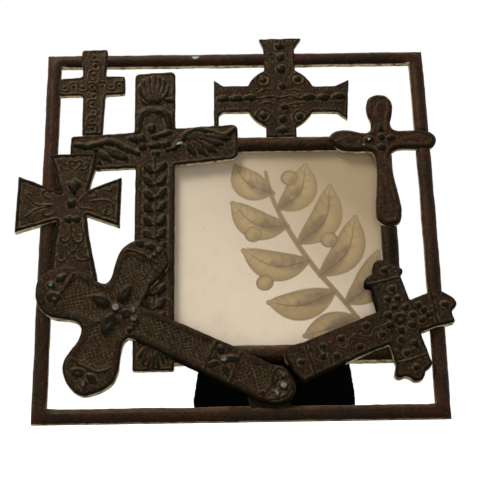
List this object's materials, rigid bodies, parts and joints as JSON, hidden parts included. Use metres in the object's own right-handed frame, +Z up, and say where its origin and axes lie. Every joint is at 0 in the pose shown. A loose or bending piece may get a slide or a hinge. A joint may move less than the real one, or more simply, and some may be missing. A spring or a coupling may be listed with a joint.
{
  "type": "cross picture frame",
  "caption": "Free-standing square picture frame made of overlapping cast crosses on an open square of bars, with a glazed square window and a hinged easel strut behind.",
  "frame": {"origin": "middle of the footprint at floor level, with the frame standing open on its strut", "axes": "+X to the right seen from the front, +Y to the back, +Z up; the frame faces -Y and leans back 15 degrees"},
  "size_m": [0.2522, 0.1086, 0.2336],
  "materials": {
    "cast_iron": "cast, brown antiqued patina with dark high spots and olive dust in the hollows",
    "glass": "clear float glass",
    "card": "cream matt paper with a pale sepia print",
    "flocked_board": "black velvet flock on pressed board",
    "steel": "zinc-plated stampings"
  },
  "bodies": {
    "root": {"top_bar": "cast_iron", "bottom_bar": "cast_iron", "left_bar": "cast_iron", "right_bar": "cast_iron", "top_rail": "cast_iron", "bottom_rail": "cast_iron", "left_rail": "cast_iron", "right_rail": "cast_iron", "scroll_cross": "cast_iron", "shell_cross": "cast_iron", "patte_cross": "cast_iron", "lobed_cross": "cast_iron", "celtic_cross": "cast_iron", "teardrop_cross": "cast_iron", "botonny_cross": "cast_iron", "glass_pane": "glass", "photo_card": "card", "backing_board": "flocked_board", "hinge_board_leaf": "steel", "hinge_pin": "steel", "board_rivets": "steel", "button_screws": "steel"},
    "strut": {"easel_strut": "flocked_board", "hinge_strut_leaf": "steel", "strut_rivets": "steel"},
    "button_1": {"turn_button_1": "steel"},
    "button_2": {"turn_button_2": "steel"},
    "button_3": {"turn_button_3": "steel"},
    "button_4": {"turn_button_4": "steel"}
  },
  "joints": [
    {"name": "strut_hinge", "type": "hinge", "parent": "root", "child": "strut", "pos_m": [0.02559, -0.00246, 0.14511], "axis": [1, 0, 0], "range_deg": [-35.93, 0]},
    {"name": "button_1_turn", "type": "hinge", "parent": "root", "child": "button_1", "pos_m": [-0.04031, -0.00832, 0.12846], "axis": [0, -0.9659, 0.2588], "continuous": true},
    {"name": "button_2_turn", "type": "hinge", "parent": "root", "child": "button_2", "pos_m": [-0.04031, -0.02436, 0.06857], "axis": [0, -0.9659, 0.2588], "continuous": true},
    {"name": "button_3_turn", "type": "hinge", "parent": "root", "child": "button_3", "pos_m": [0.09348, -0.00832, 0.12846], "axis": [0, -0.9659, 0.2588], "continuous": true},
    {"name": "button_4_turn", "type": "hinge", "parent": "root", "child": "button_4", "pos_m": [0.09348, -0.02436, 0.06857], "axis": [0, -0.9659, 0.2588], "continuous": true}
  ]
}
